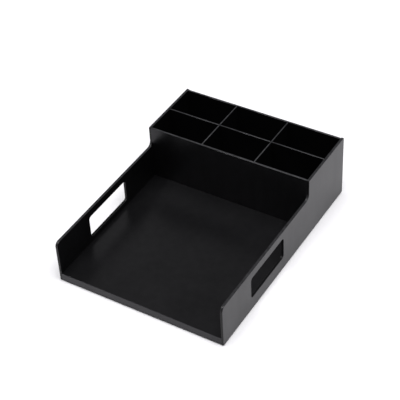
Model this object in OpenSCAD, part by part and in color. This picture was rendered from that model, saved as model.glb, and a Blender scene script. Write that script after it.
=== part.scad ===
// Countertop caddy: an open-front tray with a taller, divided holder behind it.
// Sheet panels are housed in one another, a grid of thin dividers drops into open
// grooves, and four rubber feet under the floor carry the whole.
// Origin: on the surface it stands on, under the middle of the caddy.
// +X is to the right, +Y to the back and +Z up. Sizes are in millimetres.

/* [Overall] */
// Width over the two sides
caddy_w = 286; // [240:1:340]
// Length from the open front to the rear edges of the sides
caddy_l = 382; // [350:1:440]
// Height of the sides beside the tray
low_h = 74; // [66:1:84]
// Height of the sides and walls of the holder
tall_h = 109; // [100:1:140]
// Length of the tall stretch of the sides
holder_l = 118.5; // [95:0.5:140]
// Radius of the low front corners of the sides
front_r = 8; // [2:0.5:14]
// Radius of the hollow where the sides step up
step_r = 9; // [3:0.5:14]
// Radius that takes the point off the tall corners of the sides
corner_r = 1; // [0.5:0.25:2]

/* [Panels] */
// Thickness of the two sides
side_t = 4; // [3.5:0.25:6]
// Thickness of the riser and the back
wall_t = 3; // [2.75:0.25:5]
// Thickness of the floor
floor_t = 4; // [3.5:0.25:6]
// Height of the floor's upper face above the lower edges of the sides
floor_h = 12.5; // [9:0.5:16]
// Thickness of the rail across the front
rail_t = 4; // [3.5:0.25:6]
// How far the back stands in from the rear edges of the sides
back_inset = 1.5; // [1:0.25:4]

/* [Grips] */
// Length of the grip cut-outs in the sides
grip_l = 99.5; // [80:0.5:110]
// Height of the grip cut-outs
grip_h = 39; // [25:0.5:40]
// Distance from the front of the caddy to the grips
grip_front = 82; // [40:1:110]
// Height of the grips' lower edges above the lower edges of the sides
grip_low = 21.5; // [18:0.5:24]
// Corner radius of the grips
grip_r = 5; // [2:0.5:10]

/* [Dividers] */
// Thickness of the dividers
divider_t = 2; // [1.5:0.25:3]
// How far the dividers' upper edges lie below the top of the holder
divider_drop = 0.5; // [0:0.25:4]
// Depth of the open grooves that guide the dividers
guide_d = 1.2; // [0.8:0.1:1.4]
// Clearance on each side of a divider in a groove or a slot
slide_gap = 0.2; // [0.1:0.05:0.4]
// Clearance between the dividers and the floor when they are down
seat_gap = 0.1; // [0.05:0.05:0.3]

/* [Panel joints] */
// Depth of the tongues that house one panel in another
tongue_d = 1.5; // [0.8:0.1:1.5]
// Clearance round a tongue in its groove
glue_gap = 0.1; // [0.05:0.05:0.2]
// How far the tongues of the walls stop short of the sides' edges
groove_stop = 10; // [5:1:20]
// Shoulder left between a hidden tongue and the faces that show
shoulder = 1; // [0.5:0.25:1.25]

/* [Feet] */
// Diameter of a foot where it is stuck to the floor
foot_d = 16; // [10:0.5:24]
// Diameter of a foot where it stands
foot_low_d = 13; // [8:0.5:20]
// Height by which the feet hold the sides off the surface
foot_stand = 2; // [1:0.5:6]
// Bevel round the lower edge of a foot
foot_bevel = 0.8; // [0.3:0.1:1.5]
// Distance from the outside of the caddy to the middle of a foot
foot_inset = 24; // [15:1:40]

/* [Hidden] */
$fn = 64;
// Excess that carries a cut clear of the face it starts from
over = 1;
panel_colour = "#2c2c2e";
divider_colour = "#1d1d1f";
foot_colour = "#141415";
// Levels
panel_z = foot_stand;
floor_z = panel_z + floor_h;
floor_low_z = floor_z - floor_t;
low_z = panel_z + low_h;
rim_z = panel_z + tall_h;
// Plan
inner_w = caddy_w - 2 * side_t;
front_y = -caddy_l / 2;
rear_y = caddy_l / 2;
step_y = rear_y - holder_l;
riser_y = step_y;
back_y = rear_y - back_inset - wall_t;
floor_y = front_y + rail_t;
// Cells of the holder, in three columns and two rows
columns = 3;
cell_front = riser_y + wall_t;
cells_l = back_y - cell_front;
cell_w = (inner_w - (columns - 1) * divider_t) / columns;
cross_y = cell_front + cells_l / 2;
long_x = (cell_w + divider_t) / 2;
// Dividers
divider_z = floor_z + seat_gap;
divider_h = rim_z - divider_drop - divider_z;
lap_z = divider_z + divider_h / 2;
slot_w = divider_t + 2 * slide_gap;
guide_reach = guide_d - slide_gap;
// Grooves of the fixed panels
groove_d = tongue_d + glue_gap;
// Half widths of a fixed panel between the sides, of its end tongues and of its hidden tongues
fixed_x = inner_w / 2 - glue_gap;
tongue_x = inner_w / 2 + tongue_d;
hidden_x = inner_w / 2 - shoulder;
// Height of a foot, from the surface to the underside of the floor
foot_h = floor_low_z;

// A block given by its lowest and highest corners
module block(low, high) {
    translate(low) cube(high - low);
}

// What is cut from an upper right corner at the origin to round it
module corner_off(r) {
    difference() {
        translate([-r, -r]) square(r + over);
        translate([-r, -r]) circle(r);
    }
}

// What is added in an inner corner at the origin to hollow it
module corner_fill(r) {
    difference() {
        translate([-r, -over]) square([r + over, r + over]);
        translate([-r, r]) circle(r);
    }
}

// A rectangle with round corners, from its lower left corner
module round_rect(size, r) {
    translate([r, 0]) square([size.x - 2 * r, size.y]);
    translate([0, r]) square([size.x, size.y - 2 * r]);
    for (x = [r, size.x - r], y = [r, size.y - r]) translate([x, y]) circle(r);
}

// Outline of a side, front edge to the left
module side_outline() {
    difference() {
        union() {
            translate([front_y, panel_z]) square([caddy_l, low_h]);
            translate([step_y, panel_z]) square([holder_l, tall_h]);
            translate([step_y, low_z]) corner_fill(step_r);
        }
        translate([front_y, low_z]) mirror([1, 0]) corner_off(front_r);
        translate([step_y, rim_z]) mirror([1, 0]) corner_off(corner_r);
        translate([rear_y, rim_z]) corner_off(corner_r);
        translate([front_y + grip_front, panel_z + grip_low]) round_rect([grip_l, grip_h], grip_r);
    }
}

// A groove of some depth in the inner face of the right side
module side_groove(depth, y, z) {
    block([inner_w / 2 - over, y[0], z[0]], [inner_w / 2 + depth, y[1], z[1]]);
}

// The right side, with its grooves for the floor, the rail, the walls and the cross divider
module side() {
    difference() {
        translate([inner_w / 2, 0, 0]) rotate([90, 0, 90]) linear_extrude(side_t) side_outline();
        side_groove(groove_d, [floor_y + shoulder - glue_gap, back_y - shoulder + glue_gap],
                    [floor_low_z - glue_gap, floor_z + glue_gap]);
        side_groove(groove_d, [front_y + shoulder - glue_gap, floor_y - shoulder + glue_gap],
                    [panel_z + shoulder - glue_gap, floor_z - shoulder + glue_gap]);
        side_groove(groove_d, [riser_y + shoulder - glue_gap, cell_front + glue_gap],
                    [floor_z, rim_z - groove_stop + glue_gap]);
        side_groove(groove_d, [back_y - glue_gap, back_y + wall_t + glue_gap],
                    [panel_z + groove_stop - glue_gap, rim_z - groove_stop + glue_gap]);
        side_groove(guide_d, [cross_y - slot_w / 2, cross_y + slot_w / 2], [floor_z, rim_z + over]);
    }
}

module left_side() {
    color(panel_colour) mirror([1, 0, 0]) side();
}

module right_side() {
    color(panel_colour) side();
}

// The floor: tongues into the sides, the rail and the back, and a groove for the riser
module floor_panel() {
    color(panel_colour) difference() {
        union() {
            block([-fixed_x, floor_y, floor_low_z], [fixed_x, back_y, floor_z]);
            block([-tongue_x, floor_y + shoulder, floor_low_z], [tongue_x, back_y - shoulder, floor_z]);
            block([-hidden_x, floor_y - tongue_d, floor_low_z],
                  [hidden_x, floor_y + over, floor_low_z + floor_t / 2]);
            block([-hidden_x, back_y - over, floor_low_z], [hidden_x, back_y + tongue_d, floor_z]);
        }
        block([-hidden_x - glue_gap, riser_y - glue_gap, floor_z - groove_d],
              [hidden_x + glue_gap, cell_front + glue_gap, floor_z + over]);
    }
}

// The rail that closes the front below the floor, with end tongues and a groove behind
module front_rail() {
    color(panel_colour) difference() {
        union() {
            block([-fixed_x, front_y, panel_z], [fixed_x, floor_y, floor_z]);
            block([-tongue_x, front_y + shoulder, panel_z + shoulder],
                  [tongue_x, floor_y - shoulder, floor_z - shoulder]);
        }
        block([-hidden_x - glue_gap, floor_y - groove_d, floor_low_z - glue_gap],
              [hidden_x + glue_gap, floor_y + over, floor_low_z + floor_t / 2 + glue_gap]);
    }
}

// Open grooves for the two long dividers, cut into a wall between y[0] and y[1]
module divider_guides(y) {
    for (x = [-long_x, long_x])
        block([x - slot_w / 2, y[0], floor_z], [x + slot_w / 2, y[1], rim_z + over]);
}

// The riser between the tray and the holder, standing in the floor. Its front face is level
// with the tall front edges of the sides, so its end tongues lie behind a shoulder.
module riser_panel() {
    color(panel_colour) difference() {
        union() {
            block([-fixed_x, riser_y, floor_z], [fixed_x, cell_front, rim_z]);
            block([-tongue_x, riser_y + shoulder, floor_z + glue_gap],
                  [tongue_x, cell_front, rim_z - groove_stop]);
            block([-hidden_x, riser_y, floor_z - tongue_d], [hidden_x, cell_front, floor_z + over]);
        }
        divider_guides([cell_front - guide_d, cell_front + over]);
    }
}

// The back, which runs down behind the floor to the lower edges of the sides
module back_panel() {
    color(panel_colour) difference() {
        union() {
            block([-fixed_x, back_y, panel_z], [fixed_x, back_y + wall_t, rim_z]);
            block([-tongue_x, back_y, panel_z + groove_stop],
                  [tongue_x, back_y + wall_t, rim_z - groove_stop]);
        }
        block([-hidden_x - glue_gap, back_y - over, floor_low_z - glue_gap],
              [hidden_x + glue_gap, back_y + groove_d, floor_z + glue_gap]);
        divider_guides([back_y - over, back_y + guide_d]);
    }
}

// A divider from the riser to the back, slotted from below to straddle the cross divider
module long_divider(x) {
    half_t = divider_t / 2;
    color(divider_colour) difference() {
        block([x - half_t, cell_front - guide_reach, divider_z],
              [x + half_t, back_y + guide_reach, divider_z + divider_h]);
        block([x - half_t - over, cross_y - slot_w / 2, divider_z - over],
              [x + half_t + over, cross_y + slot_w / 2, lap_z + slide_gap / 2]);
    }
}

module left_divider() {
    long_divider(-long_x);
}

module right_divider() {
    long_divider(long_x);
}

// The divider from side to side, slotted from above so that the long ones drop over it
module cross_divider() {
    half_t = divider_t / 2;
    half_w = inner_w / 2 + guide_reach;
    color(divider_colour) difference() {
        block([-half_w, cross_y - half_t, divider_z], [half_w, cross_y + half_t, divider_z + divider_h]);
        for (x = [-long_x, long_x])
            block([x - slot_w / 2, cross_y - half_t - over, lap_z - slide_gap / 2],
                  [x + slot_w / 2, cross_y + half_t + over, divider_z + divider_h + over]);
    }
}

// A tapered rubber foot on the underside of the floor, to one side and at one end
module foot(side, end) {
    x = side * (caddy_w / 2 - foot_inset);
    y = end * (caddy_l / 2 - foot_inset);
    color(foot_colour) translate([x, y, 0]) {
        cylinder(h = foot_bevel, d1 = foot_low_d - 2 * foot_bevel, d2 = foot_low_d);
        translate([0, 0, foot_bevel]) cylinder(h = foot_h - foot_bevel, d1 = foot_low_d, d2 = foot_d);
    }
}

module foot_front_left() {
    foot(-1, -1);
}

module foot_front_right() {
    foot(1, -1);
}

module foot_rear_left() {
    foot(-1, 1);
}

module foot_rear_right() {
    foot(1, 1);
}

left_side();
right_side();
floor_panel();
front_rail();
riser_panel();
back_panel();
left_divider();
right_divider();
cross_divider();
foot_front_left();
foot_front_right();
foot_rear_left();
foot_rear_right();
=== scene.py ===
"""A countertop caddy of satin black sheet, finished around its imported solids."""

import math

import bmesh
import bpy
from mathutils import Matrix, Vector


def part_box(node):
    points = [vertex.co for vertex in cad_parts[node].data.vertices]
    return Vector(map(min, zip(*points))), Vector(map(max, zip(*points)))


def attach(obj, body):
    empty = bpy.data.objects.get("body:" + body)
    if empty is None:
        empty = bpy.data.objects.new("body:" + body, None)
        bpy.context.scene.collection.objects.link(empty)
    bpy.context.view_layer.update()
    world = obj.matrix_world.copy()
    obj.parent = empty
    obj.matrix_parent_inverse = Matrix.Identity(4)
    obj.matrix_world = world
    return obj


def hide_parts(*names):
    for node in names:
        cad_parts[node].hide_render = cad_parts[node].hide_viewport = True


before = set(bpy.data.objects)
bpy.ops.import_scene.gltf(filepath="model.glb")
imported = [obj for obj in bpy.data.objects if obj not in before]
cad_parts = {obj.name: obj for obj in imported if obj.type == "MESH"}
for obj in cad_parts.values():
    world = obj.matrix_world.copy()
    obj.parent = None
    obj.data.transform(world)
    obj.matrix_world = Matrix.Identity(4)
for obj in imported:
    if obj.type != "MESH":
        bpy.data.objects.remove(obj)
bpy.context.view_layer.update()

bl_info = {
    "name": "Countertop caddy",
    "version": (1, 0, 0),
    "blender": (4, 5, 0),
    "location": "3D View > Sidebar > Caddy",
    "description": "Finishes the panels, dividers and feet of a countertop caddy and sets its stage",
    "category": "Object",
}

MM = 0.001
# Places of the axes in a vector
X, Y, Z = range(3)
# Faces that meet at more than this angle have an edge between them
SHARP = math.radians(30)
# Triangles that lie flatter to each other than this are one face
FLAT = math.radians(0.5)
# Vertices closer than this are one vertex
WELD = 0.001 * MM
# A vertex this close to a plane lies in it
NEAR = 0.02 * MM
# Faces of a smaller area than this belong to a round corner
CURVE_FACE = 12 * MM * MM
EDGE_SEGMENTS = 4
FOOT_STEPS = 48
# Radii of the hollow under a foot, as shares of the radius it stands on
DIMPLE_FLOOR = 0.45
DIMPLE_RIM = 0.55
# A face's normal lies along an axis where its share of that axis is larger than this
SQUARE = 0.99
# A face belongs to the thickness of a side where its normal's sideways share is smaller than this
NARROW = 0.5
# Face attribute from 0 to 1: how much handling rubs a face, and on upward routed faces a painted top
# light
WEAR_AND_TOP_LIGHT = "edge_wear_and_top_light"
# Widths of the patterns in the materials, in millimetres
GRAIN_MM = 0.9
CLOUD_MM = 90
STREAK_MM = 14
RUB_MM = 9
CUTTER_MARK_MM = 1.2
EDGE_PATCH_MM = 7
PORE_MM = 0.5
DUST_MM = 4
# Most values of a noise lie between these
NOISE_LOW = 0.3
NOISE_HIGH = 0.7
# Depth of every grain, cutter mark and pore
BUMP_DEPTH = 0.05 * MM
# How strongly each of them shows
GRAIN_STRENGTH = 0.22
CUTTER_MARK_STRENGTH = 0.15
PORE_STRENGTH = 0.3
# Heights are scaled by this for the wiping streaks, which draws them out upright
STREAK_SQUEEZE = 0.15
# Specular level in the wiping streaks, about the usual 0.5
STREAK_SHEEN = (0.46, 0.54)
# How far the roughness of the sheet falls below its mean and rises above it
GLOSS_FALL = 0.03
GLOSS_RISE = 0.04
# The satin face reflects a touch cooler than neutral
SHEEN_TINT = "#faf8ff"
# ABS is near 1.53; the fine grain takes some of the gloss away, which a lower value gives
SHEET_IOR = 1.40
# A router leaves a torn skin that reflects less than the rolled face
EDGE_SPECULAR = 0.25
EDGE_ROUGHNESS = (0.30, 0.40)
# Shade of the darker patches of a routed edge
EDGE_SHADE = 0.7
# Share of a rim's rubbing and painted top light that the upper edges of the sides get
SIDE_WEAR_AND_LIGHT = 0.6
RUBBER_IOR = 1.52
RUBBER_ROUGHNESS = 0.72
FLOOR_ROUGHNESS = 0.9
# Half the width of the floor, in metres
FLOOR_REACH = 6.0
# Width of the camera's sensor
SENSOR_MM = 36.0


def linear(code):
    """An sRGB hex colour as linear red, green, blue and alpha."""
    channels = [int(code[i:i + 2], 16) / 255 for i in (1, 3, 5)]
    curve = [c / 12.92 if c <= 0.04045 else ((c + 0.055) / 1.055) ** 2.4 for c in channels]
    return (*curve, 1.0)


class CaddyFinish(bpy.types.PropertyGroup):
    """Edges, colours and gloss of the caddy."""

    panel_colour: bpy.props.FloatVectorProperty(
        name="Panel colour", description="Colour of the sheet that the panels are cut from",
        subtype="COLOR", size=4, min=0, max=1, default=linear("#060607"))
    divider_colour: bpy.props.FloatVectorProperty(
        name="Divider colour", description="Colour of the thin sheet of the dividers",
        subtype="COLOR", size=4, min=0, max=1, default=linear("#050506"))
    haze_colour: bpy.props.FloatVectorProperty(
        name="Haze colour", description="Colour of the faint haze that wiping leaves on the sheet",
        subtype="COLOR", size=4, min=0, max=1, default=linear("#09090a"))
    edge_colour: bpy.props.FloatVectorProperty(
        name="Edge colour", description="Colour of the routed edges of the sheet",
        subtype="COLOR", size=4, min=0, max=1, default=linear("#0c0c0d"))
    rub_colour: bpy.props.FloatVectorProperty(
        name="Rubbed colour", description="Colour that handling leaves along the eased edges",
        subtype="COLOR", size=4, min=0, max=1, default=linear("#262629"))
    # Paler colour painted on routed edges that face up: a painted top light mixed with the rubbing of
    # hands
    rim_wear_and_light_colour: bpy.props.FloatVectorProperty(
        name="Rim colour", description="Colour that handling leaves on the routed edges that face up",
        subtype="COLOR", size=4, min=0, max=1, default=linear("#4b4b4e"))
    foot_colour: bpy.props.FloatVectorProperty(
        name="Foot colour", description="Colour of the rubber feet",
        subtype="COLOR", size=4, min=0, max=1, default=linear("#121212"))
    dust_colour: bpy.props.FloatVectorProperty(
        name="Dust colour", description="Colour of the dust in the skin of the rubber feet",
        subtype="COLOR", size=4, min=0, max=1, default=linear("#222221"))
    panel_gloss: bpy.props.FloatProperty(
        name="Panel roughness", description="Roughness of the satin face of the sheet",
        subtype="FACTOR", min=0, max=1, default=0.32)
    edge_radius: bpy.props.FloatProperty(
        name="Panel edge radius", description="Radius that eases the edges of the panels",
        unit="LENGTH", min=0, default=0.35 * MM)
    wall_radius: bpy.props.FloatProperty(
        name="Wall edge radius",
        description="Radius that eases the upper edges of the riser and the back",
        unit="LENGTH", min=0, default=0.6 * MM)
    rail_radius: bpy.props.FloatProperty(
        name="Rail edge radius", description="Radius that eases the long front edges of the rail",
        unit="LENGTH", min=0, default=0.4 * MM)
    divider_radius: bpy.props.FloatProperty(
        name="Divider edge radius", description="Radius that eases the upper edges of the dividers",
        unit="LENGTH", min=0, default=0.6 * MM)
    foot_radius: bpy.props.FloatProperty(
        name="Foot edge radius", description="Radius round the standing edge of a foot",
        unit="LENGTH", min=0, default=1.2 * MM)
    foot_taper: bpy.props.FloatProperty(
        name="Foot taper", description="How much smaller the radius of a foot is where it stands",
        unit="LENGTH", min=0, default=1.5 * MM)
    foot_dimple: bpy.props.FloatProperty(
        name="Foot dimple", description="Depth of the moulded hollow under a foot",
        unit="LENGTH", min=0, default=0.6 * MM)


class CaddyStage(bpy.types.PropertyGroup):
    """Camera, lights and floor."""

    camera_place: bpy.props.FloatVectorProperty(
        name="Camera place", description="Where the camera stands",
        subtype="TRANSLATION", unit="LENGTH", default=(0.79382, -1.2311, 1.34102))
    camera_azimuth: bpy.props.FloatProperty(
        name="Camera azimuth", description="Turn of the camera to the right of the open front",
        subtype="ANGLE", unit="ROTATION", default=math.radians(33.04))
    camera_elevation: bpy.props.FloatProperty(
        name="Camera elevation", description="Height of the camera as an angle above level",
        subtype="ANGLE", unit="ROTATION", default=math.radians(40.90))
    camera_roll: bpy.props.FloatProperty(
        name="Camera roll", description="Turn of the camera about its line of sight",
        subtype="ANGLE", unit="ROTATION", default=math.radians(-3.42))
    camera_lens: bpy.props.FloatProperty(
        name="Lens", description="Focal length in millimetres on a 36 mm sensor",
        unit="CAMERA", min=1, default=114.05)
    floor_colour: bpy.props.FloatVectorProperty(
        name="Floor colour", description="Colour of the pale floor",
        subtype="COLOR", size=4, min=0, max=1, default=linear("#f3f2f5"))
    sky_colour: bpy.props.FloatVectorProperty(
        name="Studio colour", description="Colour of the studio around the caddy",
        subtype="COLOR", size=4, min=0, max=1, default=linear("#ffffff"))
    sky_strength: bpy.props.FloatProperty(
        name="Studio strength", description="Brightness of the studio around the caddy",
        min=0, default=0.09)
    key_strength: bpy.props.FloatProperty(
        name="Overhead strength",
        description="Light of the large soft source above, in watts per square metre",
        min=0, default=3.8)
    key_width: bpy.props.FloatProperty(
        name="Overhead width", description="Angle that the soft source above fills",
        subtype="ANGLE", unit="ROTATION", default=math.radians(56))
    key_tilt: bpy.props.FloatProperty(
        name="Overhead tilt", description="Lean of the soft source above",
        subtype="ANGLE", unit="ROTATION", default=math.radians(10))
    key_heading: bpy.props.FloatProperty(
        name="Overhead heading",
        description="Where the soft source above leans to, from the front to the right",
        subtype="ANGLE", unit="ROTATION", default=math.radians(60))
    front_box_place: bpy.props.FloatVectorProperty(
        name="Front softbox place", description="Where the small softbox at the front left stands",
        subtype="TRANSLATION", unit="LENGTH", default=(-0.97, -0.8, 1.95))
    front_box_size: bpy.props.FloatProperty(
        name="Front softbox size", description="Width of the small softbox at the front left",
        unit="LENGTH", min=0, default=0.3)
    front_box_power: bpy.props.FloatProperty(
        name="Front softbox power", description="Power of the small softbox at the front left",
        unit="POWER", min=0, default=18)
    rear_box_place: bpy.props.FloatVectorProperty(
        name="Rear softbox place", description="Where the large softbox at the rear left stands",
        subtype="TRANSLATION", unit="LENGTH", default=(-1.8, 1.8, 1.9))
    rear_box_size: bpy.props.FloatProperty(
        name="Rear softbox size", description="Width of the large softbox at the rear left",
        unit="LENGTH", min=0, default=1.0)
    rear_box_power: bpy.props.FloatProperty(
        name="Rear softbox power", description="Power of the large softbox at the rear left",
        unit="POWER", min=0, default=1.5)


def add_node(tree, kind, values=None, links=None, **settings):
    """Adds a shader node with its settings, its constant inputs and the sockets linked into it."""
    node = tree.nodes.new(kind)
    for name, value in settings.items():
        setattr(node, name, value)
    for key, value in (values or {}).items():
        node.inputs[key].default_value = value
    for key, source in (links or {}).items():
        tree.links.new(source, node.inputs[key])
    return node


def new_material(name):
    """An empty material with its Principled shader and its object coordinates."""
    material = bpy.data.materials.new(name)
    material.use_nodes = True
    tree = material.node_tree
    shader = tree.nodes["Principled BSDF"]
    place = add_node(tree, "ShaderNodeTexCoord").outputs["Object"]
    return material, tree, shader, place


def per_metre(size_mm):
    """Scale of a pattern whose features are this many millimetres wide."""
    return 1 / (size_mm * MM)


def satin_sheet(name, colour, roughness):
    """Extruded ABS sheet with a rolled satin face.

    The eye gets a nearly black surface that takes its tone from what it reflects, softened by
    a fine rolled grain. Wiping leaves faint clouds of haze and upright streaks of sheen on it,
    and handling rubs the eased edges a little greyer. The grain is drawn 0.9 mm wide, coarser
    than the real one, so that it shows.
    """
    finish = bpy.context.scene.caddy_finish
    material, tree, shader, place = new_material(name)
    grain = add_node(tree, "ShaderNodeTexNoise", {"Scale": per_metre(GRAIN_MM), "Detail": 2.0},
                     {"Vector": place})
    clouds = add_node(tree, "ShaderNodeTexNoise", {"Scale": per_metre(CLOUD_MM), "Detail": 3.0},
                      {"Vector": place})
    gloss = add_node(tree, "ShaderNodeMapRange",
                     {"From Min": NOISE_LOW, "From Max": NOISE_HIGH,
                      "To Min": roughness - GLOSS_FALL, "To Max": roughness + GLOSS_RISE},
                     {"Value": clouds.outputs["Fac"]})
    upright = add_node(tree, "ShaderNodeMapping", {"Scale": (1.0, 1.0, STREAK_SQUEEZE)},
                       {"Vector": place})
    streaks = add_node(tree, "ShaderNodeTexNoise", {"Scale": per_metre(STREAK_MM), "Detail": 3.0},
                       {"Vector": upright.outputs["Vector"]})
    sheen = add_node(tree, "ShaderNodeMapRange",
                     {"From Min": NOISE_LOW, "From Max": NOISE_HIGH,
                      "To Min": STREAK_SHEEN[0], "To Max": STREAK_SHEEN[1]},
                     {"Value": streaks.outputs["Fac"]})
    hazed = add_node(tree, "ShaderNodeMix", {"A": colour, "B": finish.haze_colour},
                     {"Factor": clouds.outputs["Fac"]}, data_type="RGBA")
    wear_and_light = add_node(tree, "ShaderNodeAttribute", attribute_name=WEAR_AND_TOP_LIGHT, attribute_type="GEOMETRY")
    patches = add_node(tree, "ShaderNodeTexNoise", {"Scale": per_metre(RUB_MM), "Detail": 3.0},
                       {"Vector": place})
    worn_and_top_lit = add_node(tree, "ShaderNodeMath", None,
                      {0: wear_and_light.outputs["Fac"], 1: patches.outputs["Fac"]}, operation="MULTIPLY")
    tone = add_node(tree, "ShaderNodeMix", {"B": finish.rub_colour},
                    {"Factor": worn_and_top_lit.outputs["Value"], "A": hazed.outputs["Result"]},
                    data_type="RGBA")
    bump = add_node(tree, "ShaderNodeBump", {"Strength": GRAIN_STRENGTH, "Distance": BUMP_DEPTH},
                    {"Height": grain.outputs["Fac"]})
    tree.links.new(tone.outputs["Result"], shader.inputs["Base Color"])
    tree.links.new(gloss.outputs["Result"], shader.inputs["Roughness"])
    tree.links.new(sheen.outputs["Result"], shader.inputs["Specular IOR Level"])
    tree.links.new(bump.outputs["Normal"], shader.inputs["Normal"])
    shader.inputs["Specular Tint"].default_value = linear(SHEEN_TINT)
    shader.inputs["IOR"].default_value = SHEET_IOR
    return material


def routed_edge(name, colour):
    """The sheet's edge as a router leaves it.

    The eye gets a slightly greyer, duller band than the face, crossed by fine cutter marks, and
    painted paler where it faces up, a painted top light mixed with the rubbing of hands. The marks
    stand 1.2 mm apart, coarser than real ones, so that they show.
    """
    finish = bpy.context.scene.caddy_finish
    material, tree, shader, place = new_material(name)
    marks = add_node(tree, "ShaderNodeTexNoise", {"Scale": per_metre(CUTTER_MARK_MM), "Detail": 1.0},
                     {"Vector": place})
    gloss = add_node(tree, "ShaderNodeMapRange",
                     {"From Min": NOISE_LOW, "From Max": NOISE_HIGH,
                      "To Min": EDGE_ROUGHNESS[0], "To Max": EDGE_ROUGHNESS[1]},
                     {"Value": marks.outputs["Fac"]})
    patches = add_node(tree, "ShaderNodeTexNoise", {"Scale": per_metre(EDGE_PATCH_MM), "Detail": 2.0},
                       {"Vector": place})
    cut = add_node(tree, "ShaderNodeMix", {"A": colour, "B": [c * EDGE_SHADE for c in colour]},
                   {"Factor": patches.outputs["Fac"]}, data_type="RGBA")
    wear_and_light = add_node(tree, "ShaderNodeAttribute", attribute_name=WEAR_AND_TOP_LIGHT, attribute_type="GEOMETRY")
    worn_and_top_lit = add_node(tree, "ShaderNodeMath", None,
                      {0: wear_and_light.outputs["Fac"], 1: patches.outputs["Fac"]}, operation="MULTIPLY")
    # Painted top light: routed faces that face up are mixed toward the paler rim colour, with the
    # rubbing of hands
    tone = add_node(tree, "ShaderNodeMix", {"B": finish.rim_wear_and_light_colour},
                    {"Factor": worn_and_top_lit.outputs["Value"], "A": cut.outputs["Result"]},
                    data_type="RGBA")
    bump = add_node(tree, "ShaderNodeBump", {"Strength": CUTTER_MARK_STRENGTH, "Distance": BUMP_DEPTH},
                    {"Height": marks.outputs["Fac"]})
    tree.links.new(tone.outputs["Result"], shader.inputs["Base Color"])
    tree.links.new(gloss.outputs["Result"], shader.inputs["Roughness"])
    tree.links.new(bump.outputs["Normal"], shader.inputs["Normal"])
    shader.inputs["Specular IOR Level"].default_value = EDGE_SPECULAR
    shader.inputs["IOR"].default_value = SHEET_IOR
    return material


def moulded_rubber(name, colour):
    """Moulded rubber.

    The eye gets a dull black with a fine stippled skin and paler dust in its pores. The stipple
    is drawn 0.5 mm wide, coarser than the real one, so that it shows.
    """
    finish = bpy.context.scene.caddy_finish
    material, tree, shader, place = new_material(name)
    pores = add_node(tree, "ShaderNodeTexNoise", {"Scale": per_metre(PORE_MM), "Detail": 2.0},
                     {"Vector": place})
    dust = add_node(tree, "ShaderNodeTexNoise", {"Scale": per_metre(DUST_MM), "Detail": 3.0},
                    {"Vector": place})
    tone = add_node(tree, "ShaderNodeMix", {"A": colour, "B": finish.dust_colour},
                    {"Factor": dust.outputs["Fac"]}, data_type="RGBA")
    bump = add_node(tree, "ShaderNodeBump", {"Strength": PORE_STRENGTH, "Distance": BUMP_DEPTH},
                    {"Height": pores.outputs["Fac"]})
    tree.links.new(tone.outputs["Result"], shader.inputs["Base Color"])
    tree.links.new(bump.outputs["Normal"], shader.inputs["Normal"])
    shader.inputs["Roughness"].default_value = RUBBER_ROUGHNESS
    shader.inputs["IOR"].default_value = RUBBER_IOR
    return material


def material_once(name, make, *args):
    """The material of that name, made when it is first asked for."""
    return bpy.data.materials.get(name) or make(name, *args)


def panel_materials():
    """The face and the edge of the panels' sheet."""
    finish = bpy.context.scene.caddy_finish
    return [material_once("satin_abs_panel", satin_sheet, finish.panel_colour, finish.panel_gloss),
            material_once("routed_abs_edge", routed_edge, finish.edge_colour)]


def divider_materials():
    """The face and the edge of the dividers' thin sheet."""
    finish = bpy.context.scene.caddy_finish
    return [material_once("satin_abs_divider", satin_sheet, finish.divider_colour, finish.panel_gloss),
            material_once("routed_abs_edge", routed_edge, finish.edge_colour)]


def merged_copy(node):
    """The node's own mesh as a bmesh, with its triangles joined to whole faces."""
    bm = bmesh.new()
    bm.from_mesh(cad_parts[node].data)
    bmesh.ops.remove_doubles(bm, verts=bm.verts, dist=WELD)
    bmesh.ops.dissolve_limit(bm, angle_limit=FLAT, verts=bm.verts, edges=bm.edges)
    bm.faces.layers.float.new(WEAR_AND_TOP_LIGHT)
    bm.normal_update()
    return bm


def in_plane(element, axis, level):
    """Whether every vertex of an edge or a face lies in the plane at that level of an axis."""
    return all(abs(v.co[axis] - level) < NEAR for v in element.verts)


def sharp_edges(bm):
    """The edges between two faces that turn sharply."""
    return [e for e in bm.edges if len(e.link_faces) == 2 and e.calc_face_angle(0) > SHARP]


def ease_edges(bm, edges, radius):
    """Rounds edges and marks the new faces as the ones that handling rubs."""
    wear_and_light = bm.faces.layers.float[WEAR_AND_TOP_LIGHT]
    made = bmesh.ops.bevel(bm, geom=edges, offset=radius, offset_type="OFFSET",
                           segments=EDGE_SEGMENTS, profile=0.5, affect="EDGES", material=-1)
    for face in made["faces"]:
        face[wear_and_light] = 1.0
        face.smooth = True


def smooth_curves(bm):
    """Shades the narrow faces of round corners smooth."""
    for face in bm.faces:
        if face.calc_area() < CURVE_FACE:
            face.smooth = True


def rout_faces(bm, faces, share=1.0, sheltered=0.0):
    """Gives faces the routed edge and, above the sheltered height, a painted top light with rubbing,
    the more they face up.
    """
    wear_and_light = bm.faces.layers.float[WEAR_AND_TOP_LIGHT]
    for face in faces:
        face.material_index = 1
        if face.calc_center_median().z > sheltered:
            # Painted top light: the more a face faces up, the paler it is painted
            face[wear_and_light] = share * max(face.normal.z, 0)


def run_on(bm, level):
    """Widens a front face into the eased edges of the sides, as bonded corners show no gap."""
    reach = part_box("right_side")[0].x + bpy.context.scene.caddy_finish.edge_radius
    front = [v for v in bm.verts if abs(v.co.y - level) < NEAR]
    widest = max(abs(v.co.x) for v in front)
    for vert in front:
        if abs(abs(vert.co.x) - widest) < NEAR:
            vert.co.x = math.copysign(reach, vert.co.x)


def place_piece(bm, name, materials, node, body):
    """Makes the bmesh a piece that stands for a node and rides on a body."""
    mesh = bpy.data.meshes.new(name)
    bm.to_mesh(mesh)
    bm.free()
    for material in materials:
        mesh.materials.append(material)
    piece = bpy.data.objects.new(name, mesh)
    bpy.context.scene.collection.objects.link(piece)
    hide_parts(node)
    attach(piece, body)


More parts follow.
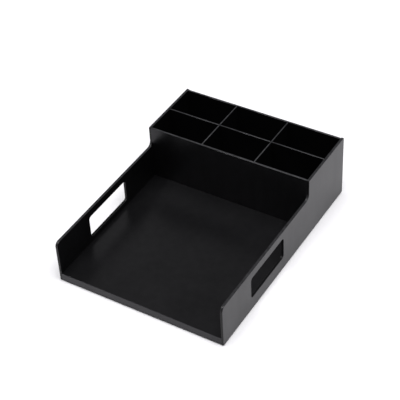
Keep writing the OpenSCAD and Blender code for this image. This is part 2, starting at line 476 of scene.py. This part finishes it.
def dress_side(node, name):
    """A side panel with eased edges round its outline and its grip, and routed narrow faces."""
    finish = bpy.context.scene.caddy_finish
    low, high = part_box(node)
    outer, inner = (high.x, low.x) if high.x > 0 else (low.x, high.x)
    bm = merged_copy(node)
    walls = {f for f in bm.faces
             if abs(f.normal.x) < NARROW and any(abs(v.co.x - outer) < NEAR for v in f.verts)}
    rout_faces(bm, walls, SIDE_WEAR_AND_LIGHT, (low.z + high.z) / 2)
    outline = [e for e in sharp_edges(bm)
               if (in_plane(e, X, outer) or in_plane(e, X, inner))
               and any(f in walls for f in e.link_faces)]
    ease_edges(bm, outline, finish.edge_radius)
    smooth_curves(bm)
    place_piece(bm, name, panel_materials(), node, "caddy")


def dress_sheet(bm, name, materials, node, body, levels, radius):
    """An upright panel whose edges are eased where it ends at one of the given levels."""
    ends = [f for f in bm.faces if any(in_plane(f, Z, level) for level in levels)]
    rout_faces(bm, ends)
    edges = [e for e in sharp_edges(bm) if any(f in ends for f in e.link_faces)]
    ease_edges(bm, edges, radius)
    place_piece(bm, name, materials, node, body)


class CADDY_OT_sides(bpy.types.Operator):
    """Finish the two stepped side panels"""

    bl_idname = "caddy.sides"
    bl_label = "Sides"

    def execute(self, context):
        dress_side("left_side", "left_side_panel")
        dress_side("right_side", "right_side_panel")
        return {"FINISHED"}


class CADDY_OT_base(bpy.types.Operator):
    """Finish the floor and the rail across the front"""

    bl_idname = "caddy.base"
    bl_label = "Floor and front rail"

    def execute(self, context):
        finish = context.scene.caddy_finish
        face, edge = panel_materials()
        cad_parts["floor_panel"].material_slots[0].material = face
        bm = merged_copy("front_rail")
        low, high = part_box("front_rail")
        run_on(bm, low.y)
        across = [e for e in sharp_edges(bm)
                  if in_plane(e, Y, low.y) and (in_plane(e, Z, low.z) or in_plane(e, Z, high.z))]
        ease_edges(bm, across, finish.rail_radius)
        place_piece(bm, "front_rail_strip", [face, edge], "front_rail", "caddy")
        return {"FINISHED"}


class CADDY_OT_walls(bpy.types.Operator):
    """Finish the riser and the back of the holder"""

    bl_idname = "caddy.walls"
    bl_label = "Riser and back"

    def execute(self, context):
        radius = context.scene.caddy_finish.wall_radius
        low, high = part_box("riser_panel")
        riser = merged_copy("riser_panel")
        run_on(riser, low.y)
        dress_sheet(riser, "riser_wall", panel_materials(), "riser_panel", "caddy",
                    [high.z], radius)
        low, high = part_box("back_panel")
        dress_sheet(merged_copy("back_panel"), "back_wall", panel_materials(), "back_panel",
                    "caddy", [low.z, high.z], radius)
        return {"FINISHED"}


class CADDY_OT_dividers(bpy.types.Operator):
    """Finish the three lift-out dividers"""

    bl_idname = "caddy.dividers"
    bl_label = "Dividers"

    def execute(self, context):
        radius = context.scene.caddy_finish.divider_radius
        for node in ("left_divider", "right_divider", "cross_divider"):
            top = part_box(node)[1].z
            dress_sheet(merged_copy(node), node + "_sheet", divider_materials(), node, node,
                        [top], radius)
        return {"FINISHED"}


class CADDY_OT_feet(bpy.types.Operator):
    """Turn the four rubber feet"""

    bl_idname = "caddy.feet"
    bl_label = "Feet"

    def execute(self, context):
        finish = context.scene.caddy_finish
        rubber = material_once("moulded_rubber_foot", moulded_rubber, finish.foot_colour)
        for node in ("foot_front_left", "foot_front_right", "foot_rear_left", "foot_rear_right"):
            low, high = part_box(node)
            centre = (low + high) / 2
            widest = (high.x - low.x) / 2
            standing = widest - finish.foot_taper
            hollow = low.z + finish.foot_dimple
            bm = bmesh.new()
            bm.faces.layers.float.new(WEAR_AND_TOP_LIGHT)
            profile = [(0, hollow), (standing * DIMPLE_FLOOR, hollow), (standing * DIMPLE_RIM, low.z),
                       (standing, low.z), (widest, high.z), (0, high.z)]
            verts = [bm.verts.new((centre.x + r, centre.y, z)) for r, z in profile]
            edges = [bm.edges.new(pair) for pair in zip(verts, verts[1:])]
            bmesh.ops.spin(bm, geom=verts + edges, cent=centre, axis=(0, 0, 1), angle=math.tau,
                           steps=FOOT_STEPS, use_merge=True)
            bmesh.ops.remove_doubles(bm, verts=bm.verts, dist=WELD)
            bmesh.ops.recalc_face_normals(bm, faces=bm.faces)
            for face in bm.faces:
                face.smooth = abs(face.normal.z) < SQUARE
            middle = standing * (1 + DIMPLE_RIM) / 2
            ring = [e for e in sharp_edges(bm) if in_plane(e, Z, low.z)]
            outer = [e for e in ring if (e.verts[0].co - centre).to_2d().length > middle]
            ease_edges(bm, outer, finish.foot_radius)
            rim = [e for e in sharp_edges(bm) if in_plane(e, Z, low.z)]
            ease_edges(bm, rim, finish.foot_dimple / 2)
            place_piece(bm, node + "_bumper", [rubber], node, "caddy")
        return {"FINISHED"}


class CADDY_OT_stage(bpy.types.Operator):
    """Set the floor, the lights and the camera"""

    bl_idname = "caddy.stage"
    bl_label = "Stage"

    def execute(self, context):
        stage = context.scene.caddy_stage
        context.scene.view_settings.view_transform = "Standard"
        self.lay_floor(context, stage)
        self.hang_lights(context, stage)
        self.set_camera(context, stage)
        return {"FINISHED"}

    def lay_floor(self, context, stage):
        """A wide, plain, pale floor."""
        mesh = bpy.data.meshes.new("studio_floor")
        bm = bmesh.new()
        bmesh.ops.create_grid(bm, x_segments=1, y_segments=1, size=FLOOR_REACH)
        bm.to_mesh(mesh)
        bm.free()
        material, _, shader, _ = new_material("matt_painted_floor")
        shader.inputs["Base Color"].default_value = stage.floor_colour
        shader.inputs["Roughness"].default_value = FLOOR_ROUGHNESS
        mesh.materials.append(material)
        floor = bpy.data.objects.new("studio_floor", mesh)
        context.scene.collection.objects.link(floor)

    def hang_lights(self, context, stage):
        """An even studio, a large soft light above and two softboxes at the left, front and rear."""
        world = bpy.data.worlds.new("studio")
        world.use_nodes = True
        sky = world.node_tree.nodes["Background"]
        sky.inputs["Color"].default_value = stage.sky_colour
        sky.inputs["Strength"].default_value = stage.sky_strength
        context.scene.world = world
        light = bpy.data.lights.new("overhead_light", "SUN")
        light.energy = stage.key_strength
        light.angle = stage.key_width
        lamp = bpy.data.objects.new("overhead_light", light)
        lamp.rotation_euler = (stage.key_tilt, 0, stage.key_heading)
        context.scene.collection.objects.link(lamp)
        glint = self.stand_softbox(context, "front_softbox", stage.front_box_place,
                                   stage.front_box_size, stage.front_box_power)
        # The small softbox is there for the glints on round corners: the floor keeps its even light
        glint.visible_diffuse = False
        self.stand_softbox(context, "rear_softbox", stage.rear_box_place, stage.rear_box_size,
                           stage.rear_box_power)

    def stand_softbox(self, context, name, place, size, power):
        """A square softbox that faces the caddy."""
        light = bpy.data.lights.new(name, "AREA")
        light.size = size
        light.energy = power
        softbox = bpy.data.objects.new(name, light)
        softbox.location = place
        softbox.rotation_euler = (-Vector(place)).to_track_quat("-Z", "Y").to_euler()
        context.scene.collection.objects.link(softbox)
        return softbox

    def set_camera(self, context, stage):
        """A camera that stands, turns and rolls as the view needs."""
        azimuth, elevation, roll = stage.camera_azimuth, stage.camera_elevation, stage.camera_roll
        back = Vector((math.sin(azimuth) * math.cos(elevation),
                       -math.cos(azimuth) * math.cos(elevation), math.sin(elevation)))
        level = Vector((math.cos(azimuth), math.sin(azimuth), 0))
        upright = back.cross(level)
        right = math.cos(roll) * level + math.sin(roll) * upright
        up = math.cos(roll) * upright - math.sin(roll) * level
        camera = bpy.data.cameras.new("camera")
        camera.sensor_width = SENSOR_MM
        camera.lens = stage.camera_lens
        eye = bpy.data.objects.new("camera", camera)
        turn = Matrix((right, up, back)).transposed().to_4x4()
        eye.matrix_world = Matrix.Translation(stage.camera_place) @ turn
        context.scene.collection.objects.link(eye)
        context.scene.camera = eye


OPERATORS = (CADDY_OT_sides, CADDY_OT_base, CADDY_OT_walls, CADDY_OT_dividers, CADDY_OT_feet,
             CADDY_OT_stage)


class CADDY_PT_sidebar(bpy.types.Panel):
    """Lists the settings and the steps that finish the caddy"""

    bl_label = "Caddy"
    bl_idname = "CADDY_PT_sidebar"
    bl_space_type = "VIEW_3D"
    bl_region_type = "UI"
    bl_category = "Caddy"

    def draw(self, context):
        for group in (context.scene.caddy_finish, context.scene.caddy_stage):
            for name in group.__annotations__:
                self.layout.prop(group, name)
        for operator in OPERATORS:
            self.layout.operator(operator.bl_idname)


CLASSES = (CaddyFinish, CaddyStage, *OPERATORS, CADDY_PT_sidebar)


def register():
    """Registers the classes and their settings."""
    for cls in CLASSES:
        bpy.utils.register_class(cls)
    bpy.types.Scene.caddy_finish = bpy.props.PointerProperty(type=CaddyFinish)
    bpy.types.Scene.caddy_stage = bpy.props.PointerProperty(type=CaddyStage)


def unregister():
    """Takes the settings and the classes away again."""
    del bpy.types.Scene.caddy_stage
    del bpy.types.Scene.caddy_finish
    for cls in reversed(CLASSES):
        bpy.utils.unregister_class(cls)


def main():
    """Builds every piece and the stage."""
    register()
    bpy.ops.caddy.sides()
    bpy.ops.caddy.base()
    bpy.ops.caddy.walls()
    bpy.ops.caddy.dividers()
    bpy.ops.caddy.feet()
    bpy.ops.caddy.stage()


if __name__ == "__main__":
    main()
